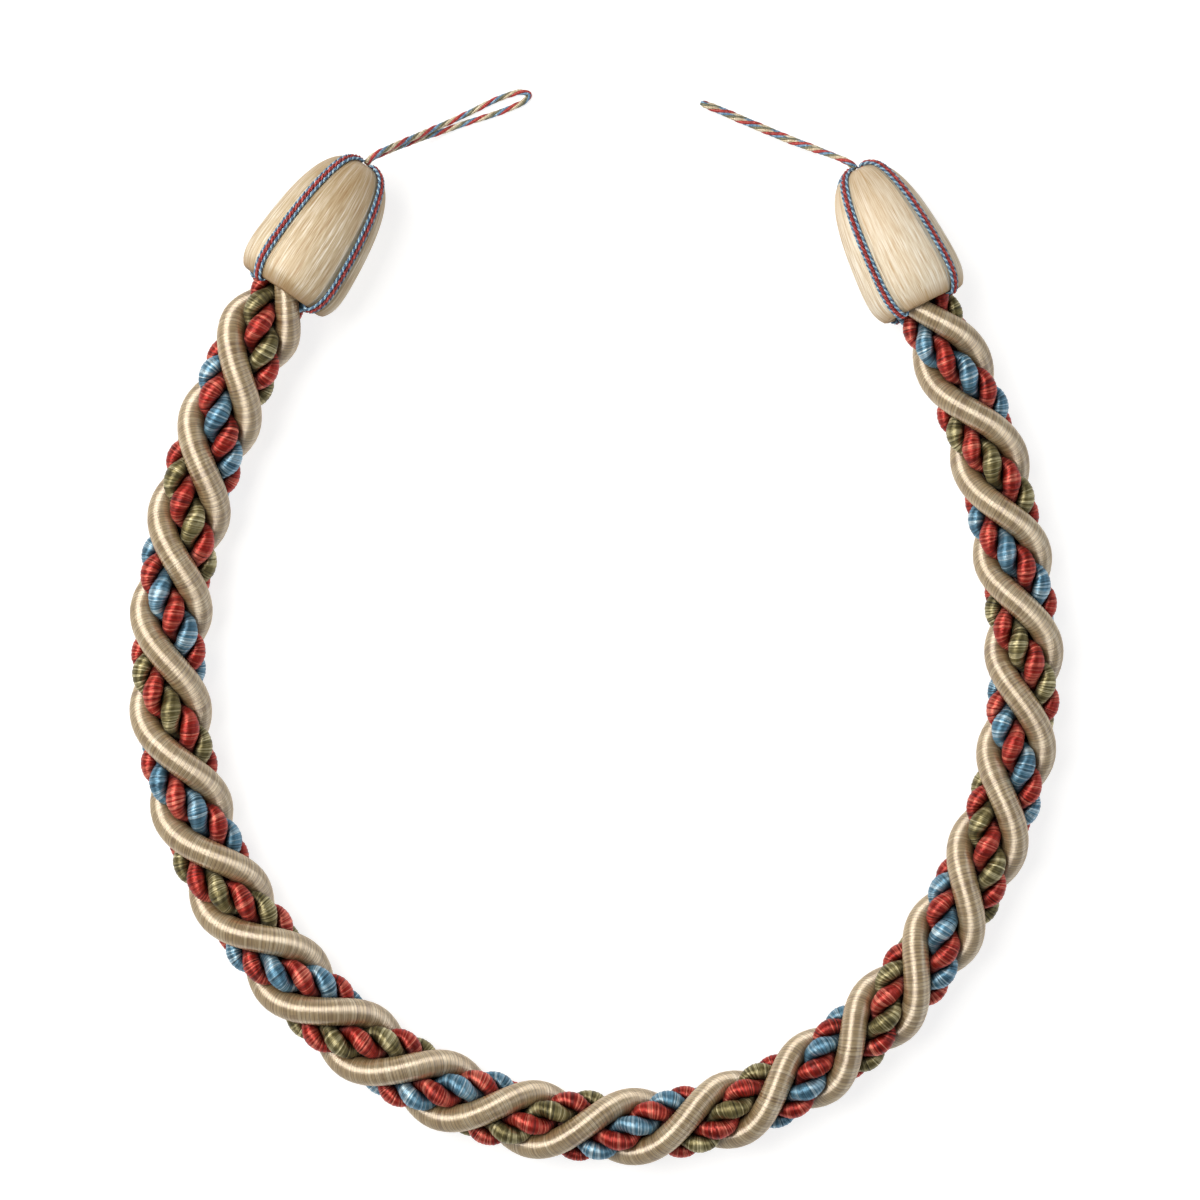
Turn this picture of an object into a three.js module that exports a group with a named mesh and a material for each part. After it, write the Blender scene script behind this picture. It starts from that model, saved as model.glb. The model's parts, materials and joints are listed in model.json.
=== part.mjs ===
// Curtain holdback: a thick laid rope lying in an open ring, a domed cap on each of its ends,
// and a hanging loop of fine cord out of the top of each cap.
// Millimetres, +Z up. The ring lies flat on the surface, and the open side between the caps
// is at +Y. The origin is at the middle of the outline, on the surface.

import * as THREE from 'three';

// The rope's centre line, from inside the left cap round to inside the right cap.
const ropeRoute = [
  [-94.6, 113.8, 16.6],
  [-100.0, 105.5, 16.6],
  [-109.8, 88.4, 16.0],
  [-121.8, 60.6, 14.2],
  [-130.9, 32.5, 12.4],
  [-136.1, 3.4, 12.0],
  [-136.4, -26.5, 12.0],
  [-130.4, -56.4, 12.0],
  [-118.6, -84.5, 12.0],
  [-101.0, -109.2, 11.9],
  [-79.9, -130.3, 11.8],
  [-55.0, -146.5, 11.7],
  [-27.4, -157.1, 11.5],
  [1.9, -161.2, 11.2],
  [31.4, -159.0, 11.1],
  [59.0, -149.1, 11.1],
  [83.2, -132.5, 11.2],
  [103.3, -110.8, 11.4],
  [119.0, -84.8, 11.6],
  [130.6, -56.4, 11.6],
  [136.3, -26.1, 11.6],
  [135.9, 4.0, 11.6],
  [130.5, 32.8, 12.0],
  [122.7, 61.0, 13.4],
  [111.0, 88.6, 15.0],
  [104.6, 101.2, 15.4],
  [100.1, 110.1, 15.4],
];

// Lay of the rope: four strands turn left-handed (S) round the centre line.
const lay = {
  firstCrossing: 10.0,
  halfPitch: 31.4,
  creamRadius: 8.8,
  pairRadius: 6.75,
  nearby: 0.5,
};

// How far the lay runs ahead of or behind an even pitch, along the rope.
const layDrift = [
  { at: 0, shift: -3.5 },
  { at: 140, shift: -2.4 },
  { at: 170, shift: -1.6 },
  { at: 260, shift: -1.9 },
  { at: 320, shift: -2.7 },
  { at: 350, shift: -3.8 },
  { at: 395, shift: -2.7 },
  { at: 425, shift: -3.7 },
  { at: 455, shift: -5.4 },
  { at: 515, shift: -7.2 },
  { at: 590, shift: -5.6 },
  { at: 640, shift: -7.0 },
  { at: 680, shift: -5.1 },
  { at: 710, shift: -2.1 },
];

// How far the plies of both pairs lag behind the lay, along the rope.
const plyLag = [
  { at: 0, lag: 1.0 },
  { at: 75, lag: 0.6 },
  { at: 120, lag: 1.9 },
  { at: 190, lag: 1.6 },
  { at: 320, lag: 2.2 },
  { at: 355, lag: 4.0 },
  { at: 372, lag: 3.8 },
  { at: 395, lag: 2.0 },
  { at: 430, lag: 2.6 },
  { at: 450, lag: 1.7 },
  { at: 500, lag: 2.2 },
  { at: 560, lag: 1.8 },
  { at: 590, lag: 0.6 },
  { at: 640, lag: 1.4 },
  { at: 665, lag: 0.6 },
  { at: 710, lag: 0.1 },
];

// The rope's girth along it: it is a little thinner where it was bent and pulled.
const ropeGirth = [
  { at: 0, share: 1.0 },
  { at: 225, share: 1.0 },
  { at: 320, share: 0.965 },
  { at: 345, share: 0.935 },
  { at: 420, share: 0.93 },
  { at: 480, share: 0.945 },
  { at: 500, share: 0.965 },
  { at: 600, share: 0.96 },
  { at: 665, share: 0.95 },
  { at: 700, share: 0.93 },
];

const creamThickness = 8.0;
const creamSides = 7;
const creamStepsPerTurn = 10;

// A pair is two plies twisted right-handed (Z) against the lay of the rope.
const pair = {
  reach: 5.1,
  crestHalfWidth: 1.25,
  flank: 3.1,
  flankHalfWidth: 2.75,
  stepsPerTwist: 5,
};
const redOlive = { twistsPerTurn: 5.25, phase: 0.29, gap: 0.5 };
const redBlue = { twistsPerTurn: 5.42, phase: -0.478, gap: 1.5 };

// The rope is drawn in where it enters a cap.
const neck = { scaleInside: 0.78, scaleAtMouth: 0.82, depth: 10.0, length: 15.0 };

// Caps, from the top (0) to the mouth, at the fullest of their panels.
const capProfile = [
  { along: 0.0, radius: 4.2 },
  { along: 0.9, radius: 7.0 },
  { along: 2.6, radius: 9.2 },
  { along: 5.0, radius: 11.0 },
  { along: 9.0, radius: 12.9 },
  { along: 15.0, radius: 14.7 },
  { along: 23.0, radius: 16.1 },
  { along: 32.0, radius: 17.0 },
  { along: 39.0, radius: 17.3 },
  { along: 43.5, radius: 16.8 },
  { along: 46.6, radius: 15.4 },
  { along: 48.0, radius: 13.9, inside: true },
  { along: 47.0, radius: 12.8, inside: true },
  { along: 45.0, radius: 12.5, inside: true },
];
const socketDepth = 12.2;
const socketRadius = 12.3;
const grooveDepth = 0.8;
const grooveFrom = 7.2;
const rimGrooveDepth = 0.3;
const grooveHalfAngle = 7;
const panelColumns = [-7, 7, 14, 26, 38, 52, 64, 76];

// Each cap's place, its girth against the profile, and the angle of its first stripe from the top.
const caps = [
  {
    name: 'cap_left',
    top: [-73.8, 145.7],
    mouth: [-100.0, 105.5],
    height: 16.6,
    scale: 1.0,
    firstStripe: -32.5,
  },
  {
    name: 'cap_right',
    top: [83.0, 144.4],
    mouth: [104.5, 101.3],
    height: 15.4,
    scale: 0.93,
    firstStripe: -45,
  },
];

// A stripe is three fine cords side by side, the red one standing proud.
const stripe = {
  halfWidth: 1.7,
  edgeHeight: 0.85,
  crown: 1.3,
  shoulder: 1.15,
  start: 3.6,
  lift: 0.3,
};
const stripeRows = 13;

// Hanging loops: the middle between the two legs, how far each leg lies from it,
// and the direction of that offset, from 0 (side by side) to 90 degrees (one on the other).
const loopCord = { thickness: 2.0, sides: 8 };
const loops = [
  {
    name: 'loop_left',
    rows: [
      { x: -73.4, y: 146.3, z: 16.6, apart: 1.17, lean: 90 },
      { x: -71.4, y: 148.4, z: 16.4, apart: 1.17, lean: 90 },
      { x: -67.0, y: 151.0, z: 14.2, apart: 1.17, lean: 82 },
      { x: -61.4, y: 154.2, z: 9.6, apart: 1.17, lean: 76 },
      { x: -54.6, y: 157.8, z: 4.7, apart: 1.17, lean: 64 },
      { x: -48.0, y: 160.8, z: 2.0, apart: 1.17, lean: 38 },
      { x: -42.0, y: 163.4, z: 1.1, apart: 1.3, lean: 6 },
      { x: -35.0, y: 166.2, z: 1.0, apart: 1.95, lean: 0 },
      { x: -28.0, y: 169.0, z: 1.0, apart: 2.1, lean: 0 },
      { x: -24.0, y: 170.4, z: 1.0, apart: 1.6, lean: 0 },
    ],
    end: { x: -21.9, y: 171.1, z: 1.0 },
  },
  {
    name: 'loop_right',
    rows: [
      { x: 82.6, y: 145.0, z: 15.4, apart: 1.17, lean: 90 },
      { x: 80.2, y: 147.0, z: 15.2, apart: 1.17, lean: 86 },
      { x: 75.2, y: 149.6, z: 12.8, apart: 1.17, lean: 76 },
      { x: 69.0, y: 152.8, z: 8.0, apart: 1.17, lean: 64 },
      { x: 62.0, y: 156.2, z: 3.9, apart: 1.17, lean: 60 },
      { x: 54.6, y: 159.6, z: 2.2, apart: 1.17, lean: 60 },
      { x: 47.0, y: 162.8, z: 2.1, apart: 1.17, lean: 60 },
      { x: 39.8, y: 165.9, z: 2.1, apart: 1.17, lean: 62 },
      { x: 36.0, y: 167.4, z: 2.1, apart: 1.1, lean: 66 },
    ],
    end: { x: 34.2, y: 168.1, z: 2.1 },
  },
];

const creamGimp = new THREE.MeshStandardMaterial({ color: 0xc9b48f, roughness: 0.45, metalness: 0 });
const redOliveGimp = new THREE.MeshStandardMaterial({ color: 0x8a4636, roughness: 0.5, metalness: 0 });
const redBlueGimp = new THREE.MeshStandardMaterial({ color: 0x7d5566, roughness: 0.5, metalness: 0 });
const silk = new THREE.MeshStandardMaterial({ color: 0xd6c4a2, roughness: 0.5, metalness: 0 });
const trim = new THREE.MeshStandardMaterial({ color: 0x8c3a40, roughness: 0.6, metalness: 0 });
const fineCord = new THREE.MeshStandardMaterial({ color: 0xa0705a, roughness: 0.6, metalness: 0 });

const holdback = new THREE.Group();
const up = new THREE.Vector3(0, 0, 1);

function radians(degrees) {
  return (degrees * Math.PI) / 180;
}

function smooth(value) {
  const t = Math.min(1, Math.max(0, value));
  return t * t * (3 - 2 * t);
}

// Value of a short table at a place between its rows, on straight lines.
function tableValue(rows, key, value, at) {
  let i = 1;
  while (i < rows.length - 1 && rows[i][key] < at) i += 1;
  const low = rows[i - 1];
  const high = rows[i];
  const t = Math.min(1, Math.max(0, (at - low[key]) / (high[key] - low[key])));
  return low[value] + t * (high[value] - low[value]);
}

// A closed solid from rings of points, each ring with the same number of points, counted
// anticlockwise when looked at against the way the rings run. Nothing reaches below z = 0.
// Each face between two rings is split along its shorter diagonal, which keeps a twist smooth.
function solidFromRings(name, rings, material) {
  const sides = rings[0].length;
  const positions = [];
  for (const ring of rings) {
    for (const p of ring) positions.push(p.x, p.y, Math.max(0, p.z));
  }
  const indices = [];
  for (let i = 0; i < rings.length - 1; i += 1) {
    for (let j = 0; j < sides; j += 1) {
      const next = (j + 1) % sides;
      const a = i * sides + j;
      const b = i * sides + next;
      const straight = rings[i][j].distanceTo(rings[i + 1][next]);
      const crossed = rings[i][next].distanceTo(rings[i + 1][j]);
      if (straight <= crossed) {
        indices.push(a, b, b + sides);
        indices.push(a, b + sides, a + sides);
      } else {
        indices.push(a, b, a + sides);
        indices.push(b, b + sides, a + sides);
      }
    }
  }
  for (const last of [false, true]) {
    const ring = last ? rings[rings.length - 1] : rings[0];
    const first = last ? (rings.length - 1) * sides : 0;
    const middle = new THREE.Vector3();
    for (const p of ring) middle.add(new THREE.Vector3(p.x, p.y, Math.max(0, p.z)));
    middle.divideScalar(sides);
    const centre = positions.length / 3;
    positions.push(middle.x, middle.y, middle.z);
    for (let j = 0; j < sides; j += 1) {
      const a = first + j;
      const b = first + ((j + 1) % sides);
      if (last) indices.push(centre, a, b);
      else indices.push(centre, b, a);
    }
  }
  const geometry = new THREE.BufferGeometry();
  geometry.setAttribute('position', new THREE.Float32BufferAttribute(positions, 3));
  geometry.setIndex(indices);
  geometry.computeVertexNormals();
  const mesh = new THREE.Mesh(geometry, material);
  mesh.name = name;
  holdback.add(mesh);
  return mesh;
}

const ropeCurve = new THREE.CatmullRomCurve3(
  ropeRoute.map((p) => new THREE.Vector3(...p)),
  false,
  'centripetal',
);
ropeCurve.arcLengthDivisions = 2400;
const ropeLength = ropeCurve.getLength();

// Place on the rope's centre line, with its left and upward directions.
function ropeFrame(arc) {
  const u = Math.min(1, Math.max(0, arc / ropeLength));
  const point = ropeCurve.getPointAt(u);
  const forward = ropeCurve.getTangentAt(u);
  const left = new THREE.Vector3().crossVectors(up, forward).normalize();
  const over = new THREE.Vector3().crossVectors(forward, left);
  return { point, left, over };
}

// Half turns of the lay that the rope has made at a place along it.
function halfTurns(arc) {
  return (arc - tableValue(layDrift, 'at', 'shift', arc) - lay.firstCrossing) / lay.halfPitch;
}

// Size of the rope's section against the full one: its girth, drawn in near the caps.
function ropeScale(arc) {
  const girth = tableValue(ropeGirth, 'at', 'share', arc);
  const depth = Math.min(arc, ropeLength - arc);
  if (depth < neck.depth) {
    return neck.scaleInside + (neck.scaleAtMouth - neck.scaleInside) * (depth / neck.depth);
  }
  return neck.scaleAtMouth + (girth - neck.scaleAtMouth) * smooth((depth - neck.depth) / neck.length);
}

// A place on a strand's own line, and the direction there out of the rope.
function strandPlace(arc, radius, gap) {
  const { point, left, over } = ropeFrame(arc);
  const angle = Math.PI / 2 - Math.PI * (halfTurns(arc) - gap);
  const out = left.multiplyScalar(Math.cos(angle)).addScaledVector(over, Math.sin(angle));
  return { place: point.addScaledVector(out, ropeScale(arc) * radius), out };
}

// One strand of the rope: its sections lie square to its own line.
function ropeStrand(name, radius, gap, steps, section, material) {
  const rings = [];
  for (let i = 0; i <= steps; i += 1) {
    const arc = (ropeLength * i) / steps;
    const { place, out } = strandPlace(arc, radius, gap);
    const behind = strandPlace(Math.max(0, arc - lay.nearby), radius, gap).place;
    const ahead = strandPlace(Math.min(ropeLength, arc + lay.nearby), radius, gap).place;
    const forward = ahead.sub(behind).normalize();
    out.addScaledVector(forward, -out.dot(forward)).normalize();
    const side = new THREE.Vector3().crossVectors(forward, out);
    const scale = ropeScale(arc);
    const ring = section(arc).map(([radial, across]) =>
      place.clone().addScaledVector(out, scale * radial).addScaledVector(side, scale * across),
    );
    rings.push(ring);
  }
  return solidFromRings(name, rings, material);
}

function creamSection() {
  const points = [];
  for (let i = 0; i < creamSides; i += 1) {
    const angle = (2 * Math.PI * i) / creamSides;
    const radius = creamThickness / 2;
    points.push([radius * Math.cos(angle), radius * Math.sin(angle)]);
  }
  return points;
}

function pairSection(twists) {
  const { reach, crestHalfWidth, flank, flankHalfWidth } = pair;
  const outline = [
    [reach, -crestHalfWidth],
    [reach, crestHalfWidth],
    [flank, flankHalfWidth],
    [-flank, flankHalfWidth],
    [-reach, crestHalfWidth],
    [-reach, -crestHalfWidth],
    [-flank, -flankHalfWidth],
    [flank, -flankHalfWidth],
  ];
  const angle = 2 * Math.PI * twists;
  return outline.map(([x, y]) => [
    x * Math.cos(angle) - y * Math.sin(angle),
    x * Math.sin(angle) + y * Math.cos(angle),
  ]);
}

// Twists that the plies of a pair have made at a place along the rope.
function pairTwists(ply, arc) {
  const lag = tableValue(plyLag, 'at', 'lag', arc) / lay.halfPitch;
  return (ply.twistsPerTurn * (halfTurns(arc) - lag)) / 2 - ply.phase;
}

function makeRope() {
  const turns = (halfTurns(ropeLength) - halfTurns(0)) / 2;
  const creamSteps = Math.round(turns * creamStepsPerTurn);
  ropeStrand('cream_strand_a', lay.creamRadius, 0, creamSteps, creamSection, creamGimp);
  ropeStrand('cream_strand_b', lay.creamRadius, 1, creamSteps, creamSection, creamGimp);
  const pairs = [
    { name: 'red_olive_strand', ply: redOlive, material: redOliveGimp },
    { name: 'red_blue_strand', ply: redBlue, material: redBlueGimp },
  ];
  for (const { name, ply, material } of pairs) {
    const steps = Math.round(turns * ply.twistsPerTurn * pair.stepsPerTwist);
    const section = (arc) => pairSection(pairTwists(ply, arc));
    ropeStrand(name, lay.pairRadius, ply.gap, steps, section, material);
  }
}

// Directions of a cap: from its mouth to its top, to the side, and up.
function capFrame(cap) {
  const top = new THREE.Vector3(cap.top[0], cap.top[1], cap.height);
  const mouth = new THREE.Vector3(cap.mouth[0], cap.mouth[1], cap.height);
  const inward = mouth.clone().sub(top).normalize();
  const right = new THREE.Vector3().crossVectors(up, inward);
  return { top, inward, right };
}

// A point of a cap, by its distance from the top, its radius, and its angle from straight up.
function capPoint(cap, along, radius, angle) {
  const { top, inward, right } = capFrame(cap);
  return top
    .clone()
    .addScaledVector(inward, along)
    .addScaledVector(right, radius * Math.sin(angle))
    .addScaledVector(up, radius * Math.cos(angle));
}

function capRowRadius(cap, row, inGroove) {
  if (!inGroove) return cap.scale * row.radius;
  const depth = row.inside ? -rimGrooveDepth : grooveDepth * smooth(row.radius / grooveFrom - 1);
  return cap.scale * (row.radius - depth);
}

function makeCap(cap) {
  const angles = [];
  for (let quarter = 0; quarter < 4; quarter += 1) {
    for (const column of panelColumns) {
      const inGroove = Math.abs(column) <= grooveHalfAngle;
      angles.unshift({ angle: radians(cap.firstStripe + 90 * quarter + column), inGroove });
    }
  }
  const rings = capProfile.map((row) =>
    angles.map(({ angle, inGroove }) =>
      capPoint(cap, row.along, capRowRadius(cap, row, inGroove), angle),
    ),
  );
  const floor = capProfile.reduce((most, row) => Math.max(most, row.along), 0) - socketDepth;
  const socket = Math.min(socketRadius, socketRadius * cap.scale);
  rings.push(angles.map(({ angle }) => capPoint(cap, floor, socket, angle)));
  solidFromRings(cap.name, rings, silk);
}

// A stripe follows the bottom of its groove from the top of the cap, over the rim, into the mouth.
function makeStripe(cap, number) {
  const angle = radians(cap.firstStripe + 90 * (number - 1));
  const { inward, right } = capFrame(cap);
  const outward = right.clone().multiplyScalar(Math.sin(angle)).addScaledVector(up, Math.cos(angle));
  const across = new THREE.Vector3().crossVectors(outward, inward);
  const line = capProfile.slice(0, stripeRows).map((row) => ({
    along: row.along,
    radius: capRowRadius(cap, row, true),
  }));
  line.unshift({ along: 0, radius: stripe.start });
  const centre = capPoint(cap, 0, 0, 0);
  const rings = line.map((place, i) => {
    const before = line[Math.max(0, i - 1)];
    const after = line[Math.min(line.length - 1, i + 1)];
    const step = new THREE.Vector2(after.along - before.along, after.radius - before.radius);
    step.normalize();
    const normal = outward.clone().multiplyScalar(step.x).addScaledVector(inward, -step.y);
    const middle = centre
      .clone()
      .addScaledVector(inward, place.along)
      .addScaledVector(outward, place.radius)
      .addScaledVector(normal, stripe.lift);
    const outline = [
      [-stripe.halfWidth, 0],
      [stripe.halfWidth, 0],
      [stripe.shoulder, stripe.edgeHeight],
      [0, stripe.crown],
      [-stripe.shoulder, stripe.edgeHeight],
    ];
    return outline.map(([wide, high]) =>
      middle.clone().addScaledVector(across, wide).addScaledVector(normal, high),
    );
  });
  solidFromRings(`${cap.name}_stripe_${number}`, rings, trim);
}

// A hanging loop: one cord that leaves the cap, turns round at its end and comes back.
function makeLoop(loop) {
  const middles = loop.rows.map((row) => new THREE.Vector3(row.x, row.y, row.z));
  const legs = [[], []];
  loop.rows.forEach((row, i) => {
    const before = middles[Math.max(0, i - 1)];
    const after = middles[Math.min(middles.length - 1, i + 1)];
    const forward = after.clone().sub(before).normalize();
    const left = new THREE.Vector3().crossVectors(up, forward).normalize();
    const over = new THREE.Vector3().crossVectors(forward, left);
    const offset = left
      .multiplyScalar(Math.cos(radians(row.lean)))
      .addScaledVector(over, Math.sin(radians(row.lean)))
      .multiplyScalar(row.apart);
    legs[0].push(middles[i].clone().add(offset));
    legs[1].push(middles[i].clone().sub(offset));
  });
  const end = new THREE.Vector3(loop.end.x, loop.end.y, loop.end.z);
  const points = [...legs[0], end, ...legs[1].reverse()];
  const curve = new THREE.CatmullRomCurve3(points, false, 'centripetal');
  const rings = [];
  const steps = 2 * (points.length - 1);
  for (let i = 0; i <= steps; i += 1) {
    const t = i / steps;
    const point = curve.getPoint(t);
    const forward = curve.getTangent(t);
    const left = new THREE.Vector3().crossVectors(up, forward).normalize();
    const over = new THREE.Vector3().crossVectors(forward, left);
    const ring = [];
    for (let j = 0; j < loopCord.sides; j += 1) {
      const angle = (2 * Math.PI * (j + 0.5)) / loopCord.sides;
      const radius = loopCord.thickness / 2;
      ring.push(
        point
          .clone()
          .addScaledVector(left, radius * Math.cos(angle))
          .addScaledVector(over, radius * Math.sin(angle)),
      );
    }
    rings.push(ring);
  }
  solidFromRings(loop.name, rings, fineCord);
}

makeRope();
for (const cap of caps) {
  makeCap(cap);
  for (let number = 1; number <= 4; number += 1) makeStripe(cap, number);
}
for (const loop of loops) makeLoop(loop);

export default holdback;
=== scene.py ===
"""Looks of a curtain holdback: a laid rope of silk-wound gimp between two silk-covered caps,
with a hanging loop of fine cord out of the top of each cap.

Metres, +Z up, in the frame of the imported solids. The ring lies flat on the surface, with its
open side at +Y.
"""
import json
import math

import bpy
import numpy as np
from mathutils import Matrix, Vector

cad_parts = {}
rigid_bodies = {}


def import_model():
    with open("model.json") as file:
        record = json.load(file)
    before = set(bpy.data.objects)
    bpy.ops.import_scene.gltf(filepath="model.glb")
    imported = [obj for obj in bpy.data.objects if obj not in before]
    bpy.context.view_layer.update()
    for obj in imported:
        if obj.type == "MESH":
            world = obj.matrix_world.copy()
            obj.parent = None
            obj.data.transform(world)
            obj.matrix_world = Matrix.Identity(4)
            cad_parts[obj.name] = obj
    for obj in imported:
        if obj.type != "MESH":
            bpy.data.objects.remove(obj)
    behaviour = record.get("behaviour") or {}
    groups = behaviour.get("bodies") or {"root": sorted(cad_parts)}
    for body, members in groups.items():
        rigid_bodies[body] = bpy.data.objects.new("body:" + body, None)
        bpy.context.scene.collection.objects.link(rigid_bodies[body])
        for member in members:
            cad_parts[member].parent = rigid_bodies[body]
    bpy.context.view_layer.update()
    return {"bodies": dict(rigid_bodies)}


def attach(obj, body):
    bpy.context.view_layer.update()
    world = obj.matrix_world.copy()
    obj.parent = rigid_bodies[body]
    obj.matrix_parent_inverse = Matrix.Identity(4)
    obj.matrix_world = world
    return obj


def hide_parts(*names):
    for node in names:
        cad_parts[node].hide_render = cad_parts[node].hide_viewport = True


UP = np.array([0.0, 0.0, 1.0])
TURN = 2 * math.pi

# The rope's centre line, from inside the left cap round to inside the right cap.
ROPE_ROUTE = [
    (-0.0946, 0.1138, 0.0166),
    (-0.1000, 0.1055, 0.0166),
    (-0.1098, 0.0884, 0.0160),
    (-0.1218, 0.0606, 0.0142),
    (-0.1309, 0.0325, 0.0124),
    (-0.1361, 0.0034, 0.0120),
    (-0.1364, -0.0265, 0.0120),
    (-0.1304, -0.0564, 0.0120),
    (-0.1186, -0.0845, 0.0120),
    (-0.1010, -0.1092, 0.0119),
    (-0.0799, -0.1303, 0.0118),
    (-0.0550, -0.1465, 0.0117),
    (-0.0274, -0.1571, 0.0115),
    (0.0019, -0.1612, 0.0112),
    (0.0314, -0.1590, 0.0111),
    (0.0590, -0.1491, 0.0111),
    (0.0832, -0.1325, 0.0112),
    (0.1033, -0.1108, 0.0114),
    (0.1190, -0.0848, 0.0116),
    (0.1306, -0.0564, 0.0116),
    (0.1363, -0.0261, 0.0116),
    (0.1359, 0.0040, 0.0116),
    (0.1305, 0.0328, 0.0120),
    (0.1227, 0.0610, 0.0134),
    (0.1110, 0.0886, 0.0150),
    (0.1046, 0.1012, 0.0154),
    (0.1001, 0.1101, 0.0154),
]
ROPE_SAMPLES = 9000
ROPE_CURVE_STEPS = 90
ROPE_PATH_POINTS = 120

# Lay of the rope: four strands turn left-handed round the centre line.
FIRST_CROSSING = 0.0100
HALF_PITCH = 0.0314
CREAM_HELIX = 0.0086
PAIR_HELIX = 0.0066
# How far the lay runs ahead of an even pitch, how far the plies lag behind the lay, and the
# share of the full girth, each at places along the rope.
LAY_DRIFT = [
    (0.000, -0.0035),
    (0.140, -0.0024),
    (0.170, -0.0016),
    (0.260, -0.0019),
    (0.320, -0.0027),
    (0.350, -0.0038),
    (0.395, -0.0027),
    (0.425, -0.0037),
    (0.455, -0.0054),
    (0.515, -0.0072),
    (0.590, -0.0056),
    (0.640, -0.0070),
    (0.680, -0.0051),
    (0.710, -0.0021),
]
PLY_LAG = [
    (0.000, 0.0010),
    (0.075, 0.0006),
    (0.120, 0.0019),
    (0.190, 0.0016),
    (0.320, 0.0022),
    (0.355, 0.0040),
    (0.372, 0.0038),
    (0.395, 0.0020),
    (0.430, 0.0026),
    (0.450, 0.0017),
    (0.500, 0.0022),
    (0.560, 0.0018),
    (0.590, 0.0006),
    (0.640, 0.0014),
    (0.665, 0.0006),
    (0.710, 0.0001),
]
GIRTH = [
    (0.000, 1.0),
    (0.225, 1.0),
    (0.320, 0.965),
    (0.345, 0.935),
    (0.420, 0.93),
    (0.480, 0.945),
    (0.500, 0.965),
    (0.600, 0.96),
    (0.665, 0.95),
    (0.700, 0.93),
]
NECK_INSIDE = 0.78
NECK_AT_MOUTH = 0.82
NECK_DEPTH = 0.010
NECK_LENGTH = 0.015

# A cream strand is one fat gimp. A pair is two flattened gimps twisted right-handed.
CREAM_RADIUS = 0.0045
CREAM_SIDES = 26
PLY_OFFSET = 0.00275
PLY_HALF_DEPTH = 0.0028
PLY_HALF_WIDTH = 0.0033
PLY_SQUEEZE = 0.22
PLY_SIDES = 14
# Each strand's gap is its place in the lay, in half turns. The seed is for its uneven bands.
CREAM_STRANDS = [
    {"letter": "a", "gap": 0.0, "seed": 11},
    {"letter": "b", "gap": 1.0, "seed": 12},
]
PAIRS = [
    {
        "gap": 0.5,
        "twists": 5.25,
        "phase": 0.29,
        "node": "red_olive_strand",
        "other": "olive",
        "seed": 25,
    },
    {
        "gap": 1.5,
        "twists": 5.42,
        "phase": -0.478,
        "node": "red_blue_strand",
        "other": "blue",
        "seed": 35,
    },
]

# A plain filling cord runs in the middle of the rope, between the strands. Its thread is painted
# dark: painted shade, where it shows in the gaps between the strands.
CORE_RADIUS = 0.0036
CORE_ROWS = 360
CORE_SIDES = 10
CORE_BAND = 0.001
CORE_PIECE = "red_gimp_with_olive"

# Thread rings of the gimp: bands of thread side by side, with a fine valley between them.
BAND_PITCH = 0.00098
BAND_SPREAD = 0.22
BAND_DEPTH = 0.0001
BAND_UNEVEN = 0.000025
BAND_TILT = 0.0005
ROWS_PER_BAND = 3

# Thread in the materials: fine threads in a band, their height, and the waves that they lie in.
FINE_THREADS = 3.0
THREAD_HEIGHT = 0.00003
WAVES_AROUND = 5.0
# Tones: the shares of a band's, a fine thread's and a slow drift's own tone, how strongly they
# show, and how much the roughness follows them.
BAND_TONE = 0.35
FINE_TONE = 0.65
DRIFT_TONE = 0.6
CONTRAST = 1.6
ROUGHNESS_SPREAD = 0.05
# Steps of the noise: from thread to thread, down a thread, and of the drift across and down.
THREAD_STEP = 7.31
FINE_SEED_STEP = 50.0
RUNS_DOWN = 1.3
RUN_TONE_RANGE = (0.28, 0.72)
DRIFT_ON_CAP = (0.6, 0.6)
DRIFT_ON_STRAND = (0.21, 1.7)
# Painted shade in the valleys between bands and between fine threads: their share of the width, and
# how dark the fine valleys are as a share of the bands' valleys.
VALLEY_WIDTH = 0.16
FINE_VALLEY_WIDTH = 0.3
FINE_VALLEY_SHADE = 0.6
# Painted shade: crevices between strands are painted darker where little of the sky is open.
CREVICE_WIDTH = 0.003
CREVICE_SAMPLES = 4
OPEN_SKY_RANGE = (0.25, 0.8)

# Caps, from the top to the mouth: distance along the axis, radius.
CAP_PROFILE = [
    (0.0006, 0.0012),
    (0.0001, 0.0026),
    (0.0000, 0.0042),
    (0.0009, 0.0070),
    (0.0026, 0.0092),
    (0.0050, 0.0110),
    (0.0090, 0.0129),
    (0.0150, 0.0147),
    (0.0230, 0.0161),
    (0.0320, 0.0170),
    (0.0390, 0.0173),
    (0.0435, 0.0168),
    (0.0466, 0.0154),
    (0.0480, 0.0139),
    (0.0470, 0.0128),
    (0.0450, 0.0125),
    (0.0400, 0.0124),
]
CAP_ROWS = 56
CAP_THREADS = 132
CAP_THREAD_DEPTH = 0.00006
# The cap's thread map counts centimetres down its profile. Its thread is painted darker towards the
# top, and inside the mouth it is painted darker still: painted shade, where the rim turns in.
CAP_MAP_LENGTH = 0.01
DARKER_TOP = (0.3, 3.4)
INSIDE_MOUTH = (5.15, 5.6)
MOUTH_SHADE = 0.8
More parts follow.
